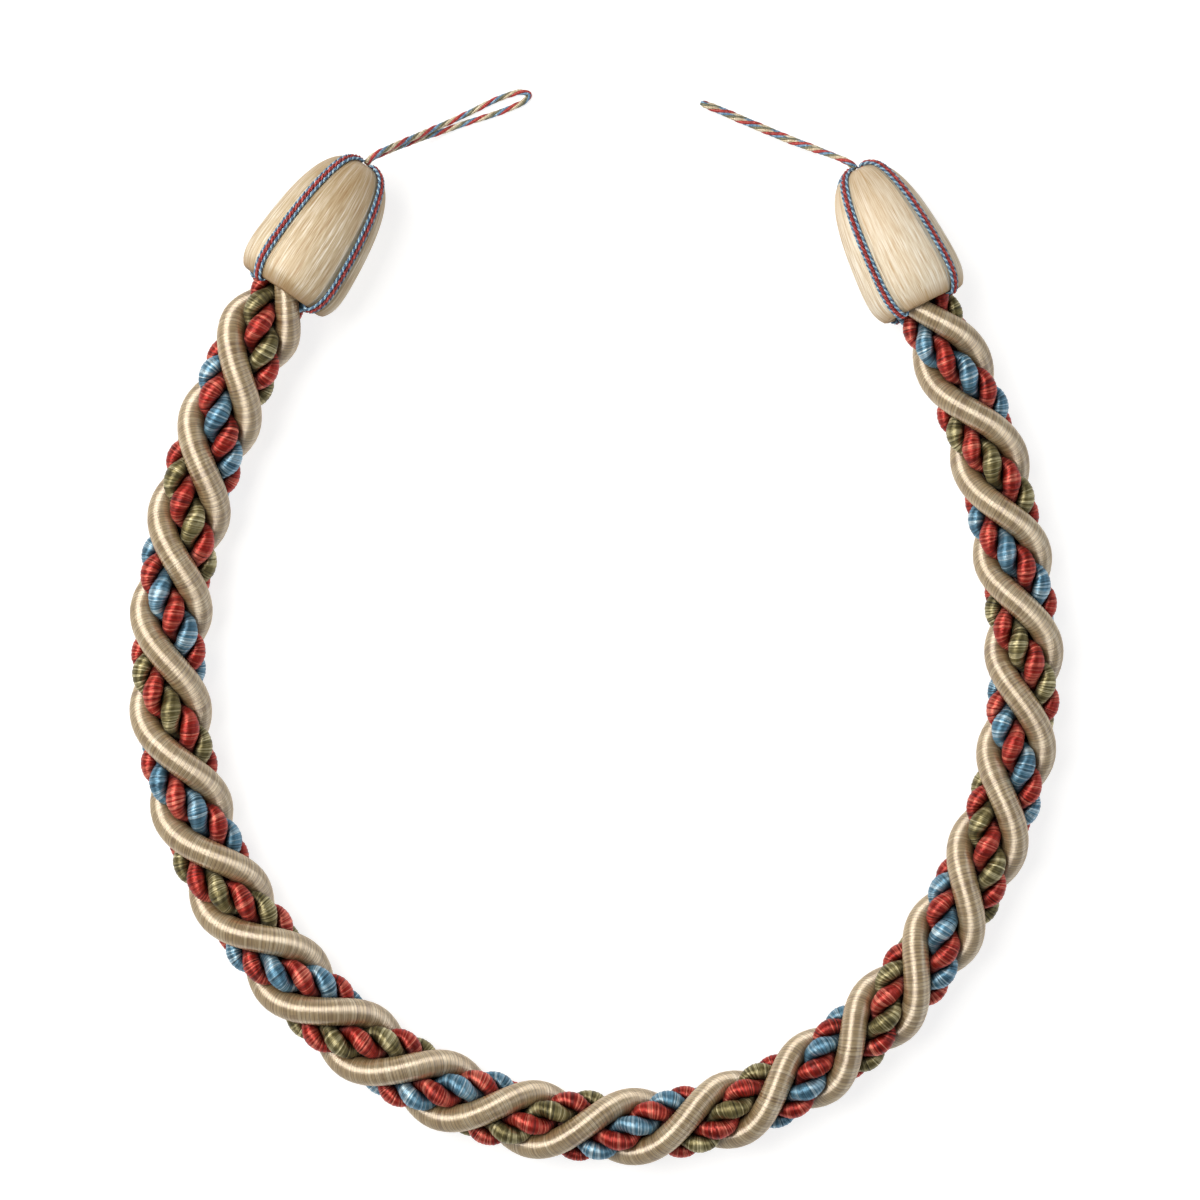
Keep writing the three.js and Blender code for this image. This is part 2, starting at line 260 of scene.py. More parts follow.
# The stripes lie in grooves this many degrees apart, with a crowned panel between them.
STRIPE_SPACING = 90
STRIPES = 4
PANEL_CROWN = 0.00025
GROOVE_DEPTH = 0.0008
GROOVE_FROM = 0.0072
GROOVE_HALF_ANGLE = 7.0
GROOVE_EDGE_ANGLE = 13.0
CAPS = [
    {
        "name": "cap_left",
        "top": (-0.0738, 0.1457),
        "mouth": (-0.1000, 0.1055),
        "height": 0.0166,
        "scale": 1.0,
        "first": -32.5,
    },
    {
        "name": "cap_right",
        "top": (0.0830, 0.1444),
        "mouth": (0.1045, 0.1013),
        "height": 0.0154,
        "scale": 0.93,
        "first": -45.0,
    },
]

# A stripe is three fine cords of two strands, side by side. For each cord: its place across, its
# height, its radius, the pitch of its twist and the paints of its strands. Each cord's second strand
# is a darker copy of the first: painted shade, that marks the twist.
STRIPE_PAINTS = ["trim_red", "trim_red_shade", "trim_blue", "trim_blue_shade"]
STRIPE_CORDS = [
    {"across": -0.00118, "height": 0.00042, "radius": 0.00053, "pitch": 0.0021, "paints": (2, 3)},
    {"across": 0.0, "height": 0.00060, "radius": 0.00070, "pitch": 0.0032, "paints": (0, 1)},
    {"across": 0.00118, "height": 0.00042, "radius": 0.00053, "pitch": 0.0021, "paints": (2, 3)},
]
STRIPE_LIFT = 0.0003
STRIPE_START = 0.0030
STRIPE_END = 0.004
STRIPE_ROW = 0.0003
STRIPE_SIDES = 6
STRIPE_HELIX = 0.44
STRIPE_STRAND = 0.58
STRIPE_BAND = 0.0004

# Cord of the hanging loops, with its four strands: colour, place round the cord in turns, radius.
LOOP_HELIX = 0.00046
LOOP_ROW = 0.0004
LOOP_SIDES = 10
LOOP_BAND = 0.0006
LOOP_PATH_POINTS = 90
LOOP_STRANDS = [
    ("red", 0.16, 0.00055),
    ("cream", 0.45, 0.00051),
    ("olive", 0.685, 0.00045),
    ("blue", 0.895, 0.00045),
]
# Each row is the middle between a loop's legs, how far each leg lies from it, and the lean of
# that offset, from 0 (side by side) to 90 degrees (one on the other).
LOOPS = [
    {
        "name": "loop_left",
        "order": -1,
        "pitch": 0.0112,
        "phase": 0.75,
        "rows": [
            (-0.0734, 0.1463, 0.0166, 0.00117, 90),
            (-0.0714, 0.1484, 0.0164, 0.00117, 90),
            (-0.0670, 0.1510, 0.0142, 0.00117, 82),
            (-0.0614, 0.1542, 0.0096, 0.00117, 76),
            (-0.0546, 0.1578, 0.0047, 0.00117, 64),
            (-0.0480, 0.1608, 0.0020, 0.00117, 38),
            (-0.0420, 0.1634, 0.0011, 0.0013, 6),
            (-0.0350, 0.1662, 0.0010, 0.00195, 0),
            (-0.0280, 0.1690, 0.0010, 0.0021, 0),
            (-0.0240, 0.1704, 0.0010, 0.0016, 0),
        ],
        "end": (-0.0219, 0.1711, 0.0010),
    },
    {
        "name": "loop_right",
        "order": 1,
        "pitch": 0.0094,
        "phase": 0.5,
        "rows": [
            (0.0826, 0.1450, 0.0154, 0.00117, 90),
            (0.0802, 0.1470, 0.0152, 0.00117, 86),
            (0.0752, 0.1496, 0.0128, 0.00117, 76),
            (0.0690, 0.1528, 0.0080, 0.00117, 64),
            (0.0620, 0.1562, 0.0039, 0.00117, 60),
            (0.0546, 0.1596, 0.0022, 0.00117, 60),
            (0.0470, 0.1628, 0.0021, 0.00117, 60),
            (0.0398, 0.1659, 0.0021, 0.00117, 62),
            (0.0360, 0.1674, 0.0021, 0.0011, 66),
        ],
        "end": (0.0342, 0.1681, 0.0021),
    },
]

# The unrolled map: margins of each strip, and the small disc that stands for a tube's end.
STRIP_MARGIN = 0.04
STRIP_END_MARGIN = 0.002
END_DISC_RADIUS = 0.0005
END_DISC_PLACE = 0.001

# The picture: the camera looks straight down, and the frame is 0.384 m wide at the rope.
PICTURE_CENTRE = (0.00108, 0.00744)
PICTURE_WIDTH = 0.384
ROPE_MIDDLE = 0.012
LENS = 85.0
SENSOR = 36.0

# Light: an even room, a large warm softbox on the left and a faint, slightly cool one on the
# right. The paper of the floor and backdrop glows a little.
ROOM_LIGHT = 0.17
PAPER_GLOW = 0.78
PAPER_TONE = 0.36
PAPER_ROUGHNESS = 0.9
STUDIO_HALF = 6.0
STUDIO_HEIGHT = 5.0
SOFTBOXES = [
    {
        "name": "key",
        "place": (-0.62, 0.32, 1.15),
        "width": 0.95,
        "height": 0.8,
        "radiance": 8.6,
        "colour": (1.0, 0.96, 0.9),
    },
    {
        "name": "cool",
        "place": (0.75, 0.0, 0.42),
        "width": 0.45,
        "height": 0.35,
        "radiance": 2.2,
        "colour": (0.9, 0.95, 1.0),
    },
]


def unit(vectors):
    return vectors / np.linalg.norm(vectors, axis=-1, keepdims=True)


def ease(value):
    t = np.clip(value, 0.0, 1.0)
    return t * t * (3 - 2 * t)


def square_frame(forward):
    """Two directions square to a line: level to its left, and over it."""
    left = unit(np.cross(UP, forward))
    return left, np.cross(forward, left)


def ring_angles(sides):
    return TURN * np.arange(sides) / sides


def smooth_curve(points, per_span=48):
    """Points of a centripetal Catmull-Rom curve through the given ones."""
    p = np.asarray(points, float)
    p = np.vstack([2 * p[0] - p[1], p, 2 * p[-1] - p[-2]])
    knots = np.sum(np.diff(p, axis=0) ** 2, axis=1) ** 0.25
    t = np.linspace(0, 1, per_span, endpoint=False)[:, None]
    spans = []
    for i in range(1, len(p) - 2):
        before, here, after = knots[i - 1 : i + 2]
        leave = (p[i] - p[i - 1]) / before - (p[i + 1] - p[i - 1]) / (before + here)
        leave = (leave + (p[i + 1] - p[i]) / here) * here
        reach = (p[i + 1] - p[i]) / here - (p[i + 2] - p[i]) / (here + after)
        reach = (reach + (p[i + 2] - p[i + 1]) / after) * here
        spans.append(
            (2 * t**3 - 3 * t**2 + 1) * p[i]
            + (t**3 - 2 * t**2 + t) * leave
            + (3 * t**2 - 2 * t**3) * p[i + 1]
            + (t**3 - t**2) * reach
        )
    spans.append(p[-2:-1])
    return np.vstack(spans)


class Route:
    """A dense line of points with its length measured along it."""

    def __init__(self, points):
        self.points = points
        steps = np.linalg.norm(np.diff(points, axis=0), axis=1)
        self.reach = np.concatenate([[0.0], np.cumsum(steps)])
        self.length = self.reach[-1]
        self.forward = unit(np.gradient(points, self.reach, axis=0))

    def at(self, places, values=None):
        values = self.points if values is None else values
        return np.stack([np.interp(places, self.reach, column) for column in values.T], axis=1)


def tube(rings, along, paint=0):
    """A closed tube: rings of points, what the thread map says along it, and its material."""
    return {"rings": rings, "along": along, "paint": paint}


def round_rings(line, first, second, radius, sides):
    """Circles round the points of a line, in the plane of two directions at each."""
    angle = ring_angles(sides)[None, :, None]
    return line[:, None] + radius * (np.cos(angle) * first[:, None] + np.sin(angle) * second[:, None])


def twisted_strand(centre, place, out, offset, radius, sides, band, paint):
    """One round strand of a twisted cord, off the cord's centre in a direction that turns."""
    line = centre + offset * out
    ahead = unit(np.gradient(line, place, axis=0))
    side = unit(np.cross(ahead, out))
    outward = np.cross(side, ahead)
    return tube(round_rings(line, outward, side, radius, sides), place / band, paint)


def tube_arrays(part, first_vertex, strip_length, first_strip, strips):
    """Vertices, corner indices, face sizes and both maps of a tube, its ends closed."""
    rings, along = part["rings"], part["along"]
    rows, sides = rings.shape[:2]
    per_strip = max(1, math.ceil((rows - 1) / part_strips(rings, strip_length)))
    row, column = np.meshgrid(np.arange(rows - 1), np.arange(sides), indexing="ij")
    index, thread, flat = [], [], []
    strip = row // per_strip
    for down, right in ((0, 0), (0, 1), (1, 1), (1, 0)):
        index.append((row + down) * sides + (column + right) % sides)
        around = (column + right) / sides
        thread.append(np.stack([along[row + down], around], axis=-1))
        x = (row + down - strip * per_strip) / per_strip
        x = STRIP_END_MARGIN + (1 - 2 * STRIP_END_MARGIN) * x
        y = first_strip + strip + STRIP_MARGIN + (1 - 2 * STRIP_MARGIN) * around
        flat.append(np.stack([x, y / strips], axis=-1))
    index = np.stack(index, axis=-1).reshape(-1)
    thread = np.stack(thread, axis=-2).reshape(-1, 2)
    flat = np.stack(flat, axis=-2).reshape(-1, 2)
    ends = [np.arange(sides)[::-1], (rows - 1) * sides + np.arange(sides)]
    angle = ring_angles(sides)
    disc = END_DISC_RADIUS * np.stack([np.cos(angle), np.sin(angle)], axis=-1)
    end_thread = [np.full((sides, 2), along[0]), np.full((sides, 2), along[-1])]
    end_flat = [disc[::-1] + (END_DISC_PLACE, (first_strip + 0.5) / strips)] * 2
    return {
        "vertices": rings.reshape(-1, 3),
        "index": np.concatenate([index, *ends]) + first_vertex,
        "sizes": np.concatenate([np.full(len(index) // 4, 4), [sides, sides]]),
        "thread": np.concatenate([thread, *end_thread]),
        "flat": np.concatenate([flat, *end_flat]),
    }


def tube_length(rings):
    return np.linalg.norm(np.diff(rings.mean(axis=1), axis=0), axis=1).sum()


def part_strips(rings, strip_length):
    """How many strips of this length a tube is cut into for its unrolled map."""
    return max(1, round(tube_length(rings) / strip_length))


def make_piece(name, tubes, materials):
    """One mesh object out of closed tubes, with a thread map and an unrolled map."""
    area = 0.0
    for part in tubes:
        rings = part["rings"]
        girth = np.linalg.norm(np.diff(rings, axis=1), axis=2).sum(axis=1).mean()
        area += tube_length(rings) * girth
    strip_length = math.sqrt(area)
    strips = sum(part_strips(part["rings"], strip_length) for part in tubes)
    found, first_vertex, first_strip = [], 0, 0
    for part in tubes:
        found.append(tube_arrays(part, first_vertex, strip_length, first_strip, strips))
        first_vertex += len(found[-1]["vertices"])
        first_strip += part_strips(part["rings"], strip_length)
    vertices = np.concatenate([f["vertices"] for f in found])
    vertices[:, 2] = np.maximum(vertices[:, 2], 0.0)
    index = np.concatenate([f["index"] for f in found])
    sizes = np.concatenate([f["sizes"] for f in found])
    paint = np.concatenate([np.full(len(f["sizes"]), p["paint"]) for f, p in zip(found, tubes)])
    mesh = bpy.data.meshes.new(name)
    mesh.vertices.add(len(vertices))
    mesh.vertices.foreach_set("co", vertices.reshape(-1).astype(np.float32))
    mesh.loops.add(len(index))
    mesh.loops.foreach_set("vertex_index", index.astype(np.int32))
    mesh.polygons.add(len(sizes))
    starts = np.concatenate([[0], np.cumsum(sizes)[:-1]])
    mesh.polygons.foreach_set("loop_start", starts.astype(np.int32))
    for material in materials:
        mesh.materials.append(material)
    mesh.polygons.foreach_set("material_index", paint.astype(np.int32))
    for layer, key in (("thread", "thread"), ("OFBake", "flat")):
        values = np.concatenate([f[key] for f in found]).reshape(-1)
        mesh.uv_layers.new(name=layer).data.foreach_set("uv", values.astype(np.float32))
    mesh.update(calc_edges=True)
    mesh.validate()
    mesh.shade_smooth()
    piece = bpy.data.objects.new(name, mesh)
    bpy.context.scene.collection.objects.link(piece)
    return piece


def finish_piece(piece, node):
    """Puts a piece on the one body, in place of the solid of this node."""
    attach(piece, BODY)
    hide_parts(node)
    return piece


# Materials


def linear(code):
    """A colour of the screen, such as C9B48F, as linear light with alpha."""
    values = []
    for i in (0, 2, 4):
        c = int(code[i : i + 2], 16) / 255
        values.append(c / 12.92 if c <= 0.04045 else ((c + 0.055) / 1.055) ** 2.4)
    return (*values, 1.0)


class Graph:
    """Short calls for the nodes of one material."""

    def __init__(self, name):
        self.material = bpy.data.materials.new(name)
        self.material.use_nodes = True
        self.tree = self.material.node_tree
        self.tree.nodes.clear()

    def node(self, kind, inputs=None, **settings):
        node = self.tree.nodes.new(kind)
        for key, value in settings.items():
            setattr(node, key, value)
        for key, value in (inputs or {}).items():
            self.put(value, node.inputs[key])
        return node

    def put(self, value, socket):
        if isinstance(value, bpy.types.NodeSocket):
            self.tree.links.new(value, socket)
        else:
            socket.default_value = value

    def math(self, operation, a, b=0.0, clamp=False):
        node = self.node("ShaderNodeMath", {0: a, 1: b}, operation=operation, use_clamp=clamp)
        return node.outputs[0]

    def vector(self, operation, a, b=None, **inputs):
        inputs[0] = a
        if b is not None:
            inputs[1] = b
        return self.node("ShaderNodeVectorMath", inputs, operation=operation).outputs[0]

    def random(self, value, seed):
        """An even random number for each whole value."""
        whole = self.math("ADD", self.math("FLOOR", value), seed)
        return self.node(
            "ShaderNodeTexWhiteNoise", {"W": whole}, noise_dimensions="1D"
        ).outputs["Value"]

    def blend(self, factor, a, b):
        node = self.node("ShaderNodeMix", data_type="RGBA")
        self.put(factor, node.inputs["Factor"])
        self.put(a, node.inputs["A"])
        self.put(b, node.inputs["B"])
        return node.outputs["Result"]

    def remap(self, value, low, high, to_low=0.0, to_high=1.0):
        return self.node(
            "ShaderNodeMapRange",
            {"Value": value, "From Min": low, "From Max": high, "To Min": to_low, "To Max": to_high},
            clamp=True,
        ).outputs["Result"]

    def noise(self, x, y, detail):
        place = self.node("ShaderNodeCombineXYZ", {"X": x, "Y": y}).outputs[0]
        return self.node(
            "ShaderNodeTexNoise",
            {"Vector": place, "Scale": 1.0, "Detail": detail},
            noise_dimensions="2D",
        ).outputs["Fac"]


def silk(
    name,
    mid,
    dark,
    light,
    seed,
    lengthwise=0,
    roughness=0.5,
    uneven=1.0,
    wave=0.2,
    metal=0.65,
    ior=1.5,
    valleys=0.6,
    drawn_out=0.8,
    darker_top_and_mouth_shade=0.0,
    crevice_shade=0.0,
):
    """Silk thread side by side: rings round a strand, or lengthwise down a cap if a number of
    threads is given. Each thread has its own tone and lies a little uneven, so that its sheen
    is broken, and the sheen is drawn out across the threads. The thread map counts bands of
    thread along a strand, and turns round it."""
    g = Graph(name)
    place = g.node("ShaderNodeUVMap", uv_map="thread").outputs["UV"]
    split = g.node("ShaderNodeSeparateXYZ", {0: place})
    along, around = split.outputs["X"], split.outputs["Y"]
    if lengthwise:
        thread = g.math("MULTIPLY", around, float(lengthwise))
        down = along
    else:
        thread = along
        down = around
    fine_thread = g.math("MULTIPLY", thread, FINE_THREADS)
    tone = g.random(thread, seed)
    if lengthwise:
        row = g.math("MULTIPLY", g.math("FLOOR", fine_thread), THREAD_STEP)
        run_tone = g.noise(g.math("ADD", row, seed), g.math("MULTIPLY", down, RUNS_DOWN), 2.0)
        fine_tone = g.remap(run_tone, *RUN_TONE_RANGE)
        across_step, down_step = DRIFT_ON_CAP
    else:
        fine_tone = g.random(fine_thread, seed + FINE_SEED_STEP)
        across_step, down_step = DRIFT_ON_STRAND
    drift = g.noise(
        g.math("MULTIPLY", thread, across_step), g.math("MULTIPLY", down, down_step), 3.0
    )
    own = g.math("MULTIPLY", tone, BAND_TONE)
    shade = g.math("ADD", own, g.math("MULTIPLY", fine_tone, FINE_TONE))
    shade = g.math("MULTIPLY", g.math("SUBTRACT", shade, 0.5), uneven)
    drift = g.math("MULTIPLY", g.math("SUBTRACT", drift, 0.5), DRIFT_TONE * uneven)
    shade = g.math("ADD", shade, drift)
    colour = g.blend(g.math("MULTIPLY", shade, -CONTRAST, clamp=True), linear(mid), linear(dark))
    colour = g.blend(g.math("MULTIPLY", shade, CONTRAST, clamp=True), colour, linear(light))
    # Painted shade: the valleys between bands and between fine threads are painted towards the dark
    # colour.
    valley = g.remap(g.math("PINGPONG", thread, 0.5), 0.0, VALLEY_WIDTH, valleys, 0.0)
    edge = g.math("PINGPONG", fine_thread, 0.5)
    fine_valley = g.remap(edge, 0.0, FINE_VALLEY_WIDTH, FINE_VALLEY_SHADE * valleys, 0.0)
    colour = g.blend(g.math("MAXIMUM", valley, fine_valley), colour, linear(dark))
    # Painted shade: the colour goes towards the dark one in crevices where little of the sky is open.
    if crevice_shade:
        open_sky = g.node(
            "ShaderNodeAmbientOcclusion", {"Distance": CREVICE_WIDTH}, samples=CREVICE_SAMPLES
        ).outputs["AO"]
        colour = g.blend(g.remap(open_sky, *OPEN_SKY_RANGE, crevice_shade, 0.0), colour, linear(dark))
    # Darker towards the top of the cap, and painted shade inside the mouth, where the rim turns in.
    if darker_top_and_mouth_shade:
        colour = g.blend(g.remap(along, *DARKER_TOP, darker_top_and_mouth_shade, 0.0), colour, linear(dark))
        colour = g.blend(g.remap(along, *INSIDE_MOUTH, 0.0, MOUTH_SHADE), colour, linear(dark))
    profile = g.math("MULTIPLY", g.math("PINGPONG", fine_thread, 0.5), THREAD_HEIGHT)
    bump = g.node(
        "ShaderNodeBump", {"Height": profile, "Strength": 1.0, "Distance": 1.0}
    ).outputs["Normal"]
    tangent = g.node("ShaderNodeTangent", direction_type="UV_MAP", uv_map="thread").outputs[0]
    own_row = g.math("MULTIPLY", g.math("FLOOR", fine_thread), THREAD_STEP)
    lie = g.noise(own_row, g.math("MULTIPLY", down, WAVES_AROUND), 1.0)
    lie = g.math("MULTIPLY", g.math("SUBTRACT", lie, 0.5), 2 * wave)
    run = tangent if lengthwise else g.vector("CROSS_PRODUCT", bump, tangent)
    lean = g.vector("SCALE", run, Scale=lie)
    normal = g.vector("NORMALIZE", g.vector("ADD", bump, lean))
    shader = g.node(
        "ShaderNodeBsdfPrincipled",
        {
            "Base Color": colour,
            "Roughness": g.remap(
                fine_tone, 0.0, 1.0, roughness - ROUGHNESS_SPREAD, roughness + ROUGHNESS_SPREAD
            ),
            "Normal": normal,
            "Tangent": tangent,
            "Anisotropic": drawn_out,
            "Anisotropic Rotation": 0.25 if lengthwise else 0.0,
            "Metallic": metal,
            "IOR": ior,
            "Specular IOR Level": 1.0,
        },
    )
    g.node("ShaderNodeOutputMaterial", {"Surface": shader.outputs[0]})
    return g.material


# The rope


def half_turns(arc):
    return (arc - np.interp(arc, *np.array(LAY_DRIFT).T) - FIRST_CROSSING) / HALF_PITCH


def rope_scale(arc, length):
    """Size of the rope's section against the full one: its girth, drawn in near the caps."""
    girth = np.interp(arc, *np.array(GIRTH).T)
    depth = np.minimum(arc, length - arc)
    inside = NECK_INSIDE + (NECK_AT_MOUTH - NECK_INSIDE) * depth / NECK_DEPTH
    outside = NECK_AT_MOUTH + (girth - NECK_AT_MOUTH) * ease((depth - NECK_DEPTH) / NECK_LENGTH)
    return np.where(depth < NECK_DEPTH, inside, outside)


class Lay:
    """Directions round the rope's centre line for one strand, densely along the rope."""

    def __init__(self, route, gap):
        arc = np.linspace(0, route.length, ROPE_SAMPLES)
        self.centre = route.at(arc)
        left, over = square_frame(unit(route.at(arc, route.forward)))
        half = half_turns(arc)
        self.ply_half = half - np.interp(arc, *np.array(PLY_LAG).T) / HALF_PITCH
        angle = (math.pi / 2 - math.pi * (half - gap))[:, None]
        self.out = left * np.cos(angle) + over * np.sin(angle)
        self.scale = rope_scale(arc, route.length)[:, None]

    def helix(self, radius):
        return self.centre + self.scale * radius * self.out


def gimp(line, core, depth, width, sides, seed):
    """A strand wound with thread: rings square to its line, and fine valleys between bands.
    Its half depth, away from the core, and half width are given all along the line."""
    rng = np.random.default_rng(seed)
    route = Route(line)
    bands = int(route.length / BAND_PITCH)
    widths = 1 + BAND_SPREAD * rng.uniform(-1, 1, bands)
    edges = np.concatenate([[0.0], np.cumsum(widths)]) * route.length / widths.sum()
    count = np.arange(bands * ROWS_PER_BAND + 1) / ROWS_PER_BAND
    place = np.interp(count, np.arange(bands + 1), edges)
    centre = route.at(place)
    forward = unit(route.at(place, route.forward))
    out = route.at(place, line - core)
    out = unit(out - forward * np.sum(out * forward, axis=1, keepdims=True))
    side = np.cross(forward, out)
    depth, width = route.at(place, depth), route.at(place, width)
    proud = BAND_UNEVEN * rng.uniform(-1, 1, bands + 1)[np.floor(count).astype(int)]
    valley = np.arange(len(count)) % ROWS_PER_BAND == 0
    lift = np.where(valley, -BAND_DEPTH, proud)[:, None]
    angle = ring_angles(sides)[None, :, None]
    cos, sin = np.cos(angle), np.sin(angle)
    depth = (depth + lift)[:, :, None]
    width = (width + lift)[:, :, None]
    rings = centre[:, None] + depth * cos * out[:, None] + width * sin * side[:, None]
    rings += BAND_TILT * sin * forward[:, None]
    return tube(rings, count)


def filling_cord(route):
    """The plain round cord in the middle of the rope."""
    place = np.linspace(0, route.length, CORE_ROWS)
    left, over = square_frame(unit(route.at(place, route.forward)))
    radius = CORE_RADIUS * rope_scale(place, route.length)[:, None, None]
    rings = round_rings(route.at(place), left, over, radius, CORE_SIDES)
    return tube(rings, place / CORE_BAND, 1)


def make_rope(route, paints):
    for strand in CREAM_STRANDS:
        lay = Lay(route, strand["gap"])
        radius = lay.scale * CREAM_RADIUS
        line = lay.helix(CREAM_HELIX)
        part = gimp(line, lay.centre, radius, radius, CREAM_SIDES, strand["seed"])
        letter = strand["letter"]
        piece = make_piece(f"cream_gimp_{letter}", [part], [paints["cream"]])
        finish_piece(piece, f"cream_strand_{letter}")
    for pair in PAIRS:
        lay = Lay(route, pair["gap"])
        core = lay.helix(PAIR_HELIX)
        forward = Route(core).forward
        out = unit(lay.out - forward * np.sum(lay.out * forward, axis=1, keepdims=True))
        side = np.cross(forward, out)
        for number, colour in enumerate(("red", pair["other"])):
            turns = pair["twists"] * lay.ply_half / 2 - pair["phase"] + number / 2
            turn = TURN * turns[:, None]
            line = core + lay.scale * PLY_OFFSET * (np.cos(turn) * out + np.sin(turn) * side)
            squeezed = lay.scale * (1 - PLY_SQUEEZE * np.sin(turn) ** 2)
            depth = PLY_HALF_DEPTH * lay.scale
            width = PLY_HALF_WIDTH * squeezed
            part = gimp(line, core, depth, width, PLY_SIDES, pair["seed"] + number)
            name = f"{colour}_gimp" if number else f"red_gimp_with_{pair['other']}"
            tubes, colours = [part], [paints[colour]]
            if name == CORE_PIECE:
                tubes.append(filling_cord(route))
                colours.append(paints["core"])
            piece = make_piece(name, tubes, colours)
            finish_piece(piece, pair["node"])
    route.at(np.linspace(0, route.length, ROPE_PATH_POINTS))


# The caps


def cap_axes(cap):
    top = np.array([*cap["top"], cap["height"]])
    mouth = np.array([*cap["mouth"], cap["height"]])
    inward = unit(mouth - top)
    return top, inward, np.cross(UP, inward)


def from_stripe(degrees):
    """Degrees from the nearest stripe to an angle round the cap."""
    half = STRIPE_SPACING / 2
    return np.abs((degrees + half) % STRIPE_SPACING - half)


def groove_share(off):
    """How deep the groove is at these degrees from its stripe, from 0 to 1."""
    return 1 - ease((off - GROOVE_HALF_ANGLE) / (GROOVE_EDGE_ANGLE - GROOVE_HALF_ANGLE))


def cap_line():
    """The cap's profile as an even dense line of distance along the axis and radius."""
    flat = np.array([(a, r, 0.0) for a, r in CAP_PROFILE])
    return Route(smooth_curve(flat))


def make_cap(cap, paint):
    top, inward, right = cap_axes(cap)
    profile = cap_line()
    place = np.linspace(0, profile.length, CAP_ROWS)
    rows = profile.at(place)
    columns = CAP_THREADS * ROWS_PER_BAND
    angle = -ring_angles(columns)
    off = from_stripe(np.degrees(angle))
    share = groove_share(off)[None, :]
    along, radius = rows[:, :1], rows[:, 1:2]
    fade = ease(radius / GROOVE_FROM - 1)
    crown = PANEL_CROWN * (off / (STRIPE_SPACING / 2))[None, :] * 2 - PANEL_CROWN
    valley = np.arange(columns) % ROWS_PER_BAND == 0
    thread = np.where(valley, -CAP_THREAD_DEPTH, 0.0)[None, :]
    full = radius - fade * (GROOVE_DEPTH * share - thread - crown * (1 - share))
    full = cap["scale"] * full
    turned = angle + math.radians(cap["first"])
    out = right * np.sin(turned)[:, None] + UP * np.cos(turned)[:, None]
    rings = top + inward * along[:, :, None] + out[None] * full[:, :, None]
    piece = make_piece(f"{cap['name']}_silk", [tube(rings, place / CAP_MAP_LENGTH)], [paint])
    finish_piece(piece, cap["name"])


def two_strand_cord(line, cord, across):
    """A fine cord of two strands twisted left-handed, on a line over a cap."""
    route = Route(line)
    place = np.linspace(0, route.length, int(route.length / STRIPE_ROW) + 1)
    centre = route.at(place)
    forward = unit(route.at(place, route.forward))
    left = unit(np.cross(across, forward))
    over = np.cross(forward, left)
    offset = STRIPE_HELIX * cord["radius"]
    radius = STRIPE_STRAND * cord["radius"]
    tubes = []
    for half, paint in enumerate(cord["paints"]):
        turn = (TURN * half / 2 - TURN * place / cord["pitch"])[:, None]
        out = left * np.cos(turn) + over * np.sin(turn)
        tubes.append(
            twisted_strand(centre, place, out, offset, radius, STRIPE_SIDES, STRIPE_BAND, paint)
        )
    return tubes


def make_stripe(cap, number, paints):
    top, inward, right = cap_axes(cap)
    angle = math.radians(cap["first"] + STRIPE_SPACING * (number - 1))
    outward = right * math.sin(angle) + UP * math.cos(angle)
    across = np.cross(outward, inward)
    profile = cap_line()
    rows = profile.points
    keep = (rows[:, 1] >= STRIPE_START) & (profile.reach < profile.length - STRIPE_END)
    along, radius = rows[keep, 0], rows[keep, 1]
    radius = cap["scale"] * (radius - GROOVE_DEPTH * ease(radius / GROOVE_FROM - 1))
    step = unit(np.stack([np.gradient(along), np.gradient(radius)], axis=1))
    normal = outward * step[:, :1] - inward * step[:, 1:]
    base = top + inward * along[:, None] + outward * radius[:, None] + STRIPE_LIFT * normal
    tubes = []
    for cord in STRIPE_CORDS:
        line = base + across * cord["across"] + normal * cord["height"]
        tubes.extend(two_strand_cord(line, cord, across))
    piece = make_piece(f"{cap['name']}_cords_{number}", tubes, [paints[c] for c in STRIPE_PAINTS])
    finish_piece(piece, f"{cap['name']}_stripe_{number}")


# The hanging loops


def loop_line(loop):
    """Centre line of a loop's cord: out of the cap, round its end and back."""
    rows = np.array(loop["rows"])
    middle = rows[:, :3]
    ahead = np.vstack([middle[1:], middle[-1:]])
    behind = np.vstack([middle[:1], middle[:-1]])
    left, over = square_frame(unit(ahead - behind))
    lean = np.radians(rows[:, 4:5])
    offset = rows[:, 3:4] * (left * np.cos(lean) + over * np.sin(lean))
    points = np.vstack([middle + offset, [loop["end"]], (middle - offset)[::-1]])
    return Route(smooth_curve(points))


def carried_frame(forward):
    """Two directions square to a line, carried along it without turning round it."""
    sides = [unit(np.cross(UP, forward[0]))]
    for ahead in forward[1:]:
        sides.append(unit(sides[-1] - ahead * np.dot(sides[-1], ahead)))
    side = np.array(sides)
    return side, np.cross(forward, side)


def make_loop(loop, paints):
    route = loop_line(loop)
    place = np.linspace(0, route.length, int(route.length / LOOP_ROW) + 1)
    centre = route.at(place)
    left, over = carried_frame(unit(route.at(place, route.forward)))
    tubes = []
    for number, (_, share, radius) in enumerate(LOOP_STRANDS):
        turns = loop["phase"] + loop["order"] * share - place / loop["pitch"]
        turn = (TURN * turns)[:, None]
        out = left * np.cos(turn) + over * np.sin(turn)
        tubes.append(
            twisted_strand(centre, place, out, LOOP_HELIX, radius, LOOP_SIDES, LOOP_BAND, number)
        )
    colours = [paints[f"loop_{colour}"] for colour, _, _ in LOOP_STRANDS]
    piece = make_piece(f"{loop['name']}_cord", tubes, colours)
    finish_piece(piece, loop["name"])
    route.at(np.linspace(0, route.length, LOOP_PATH_POINTS))


# The picture


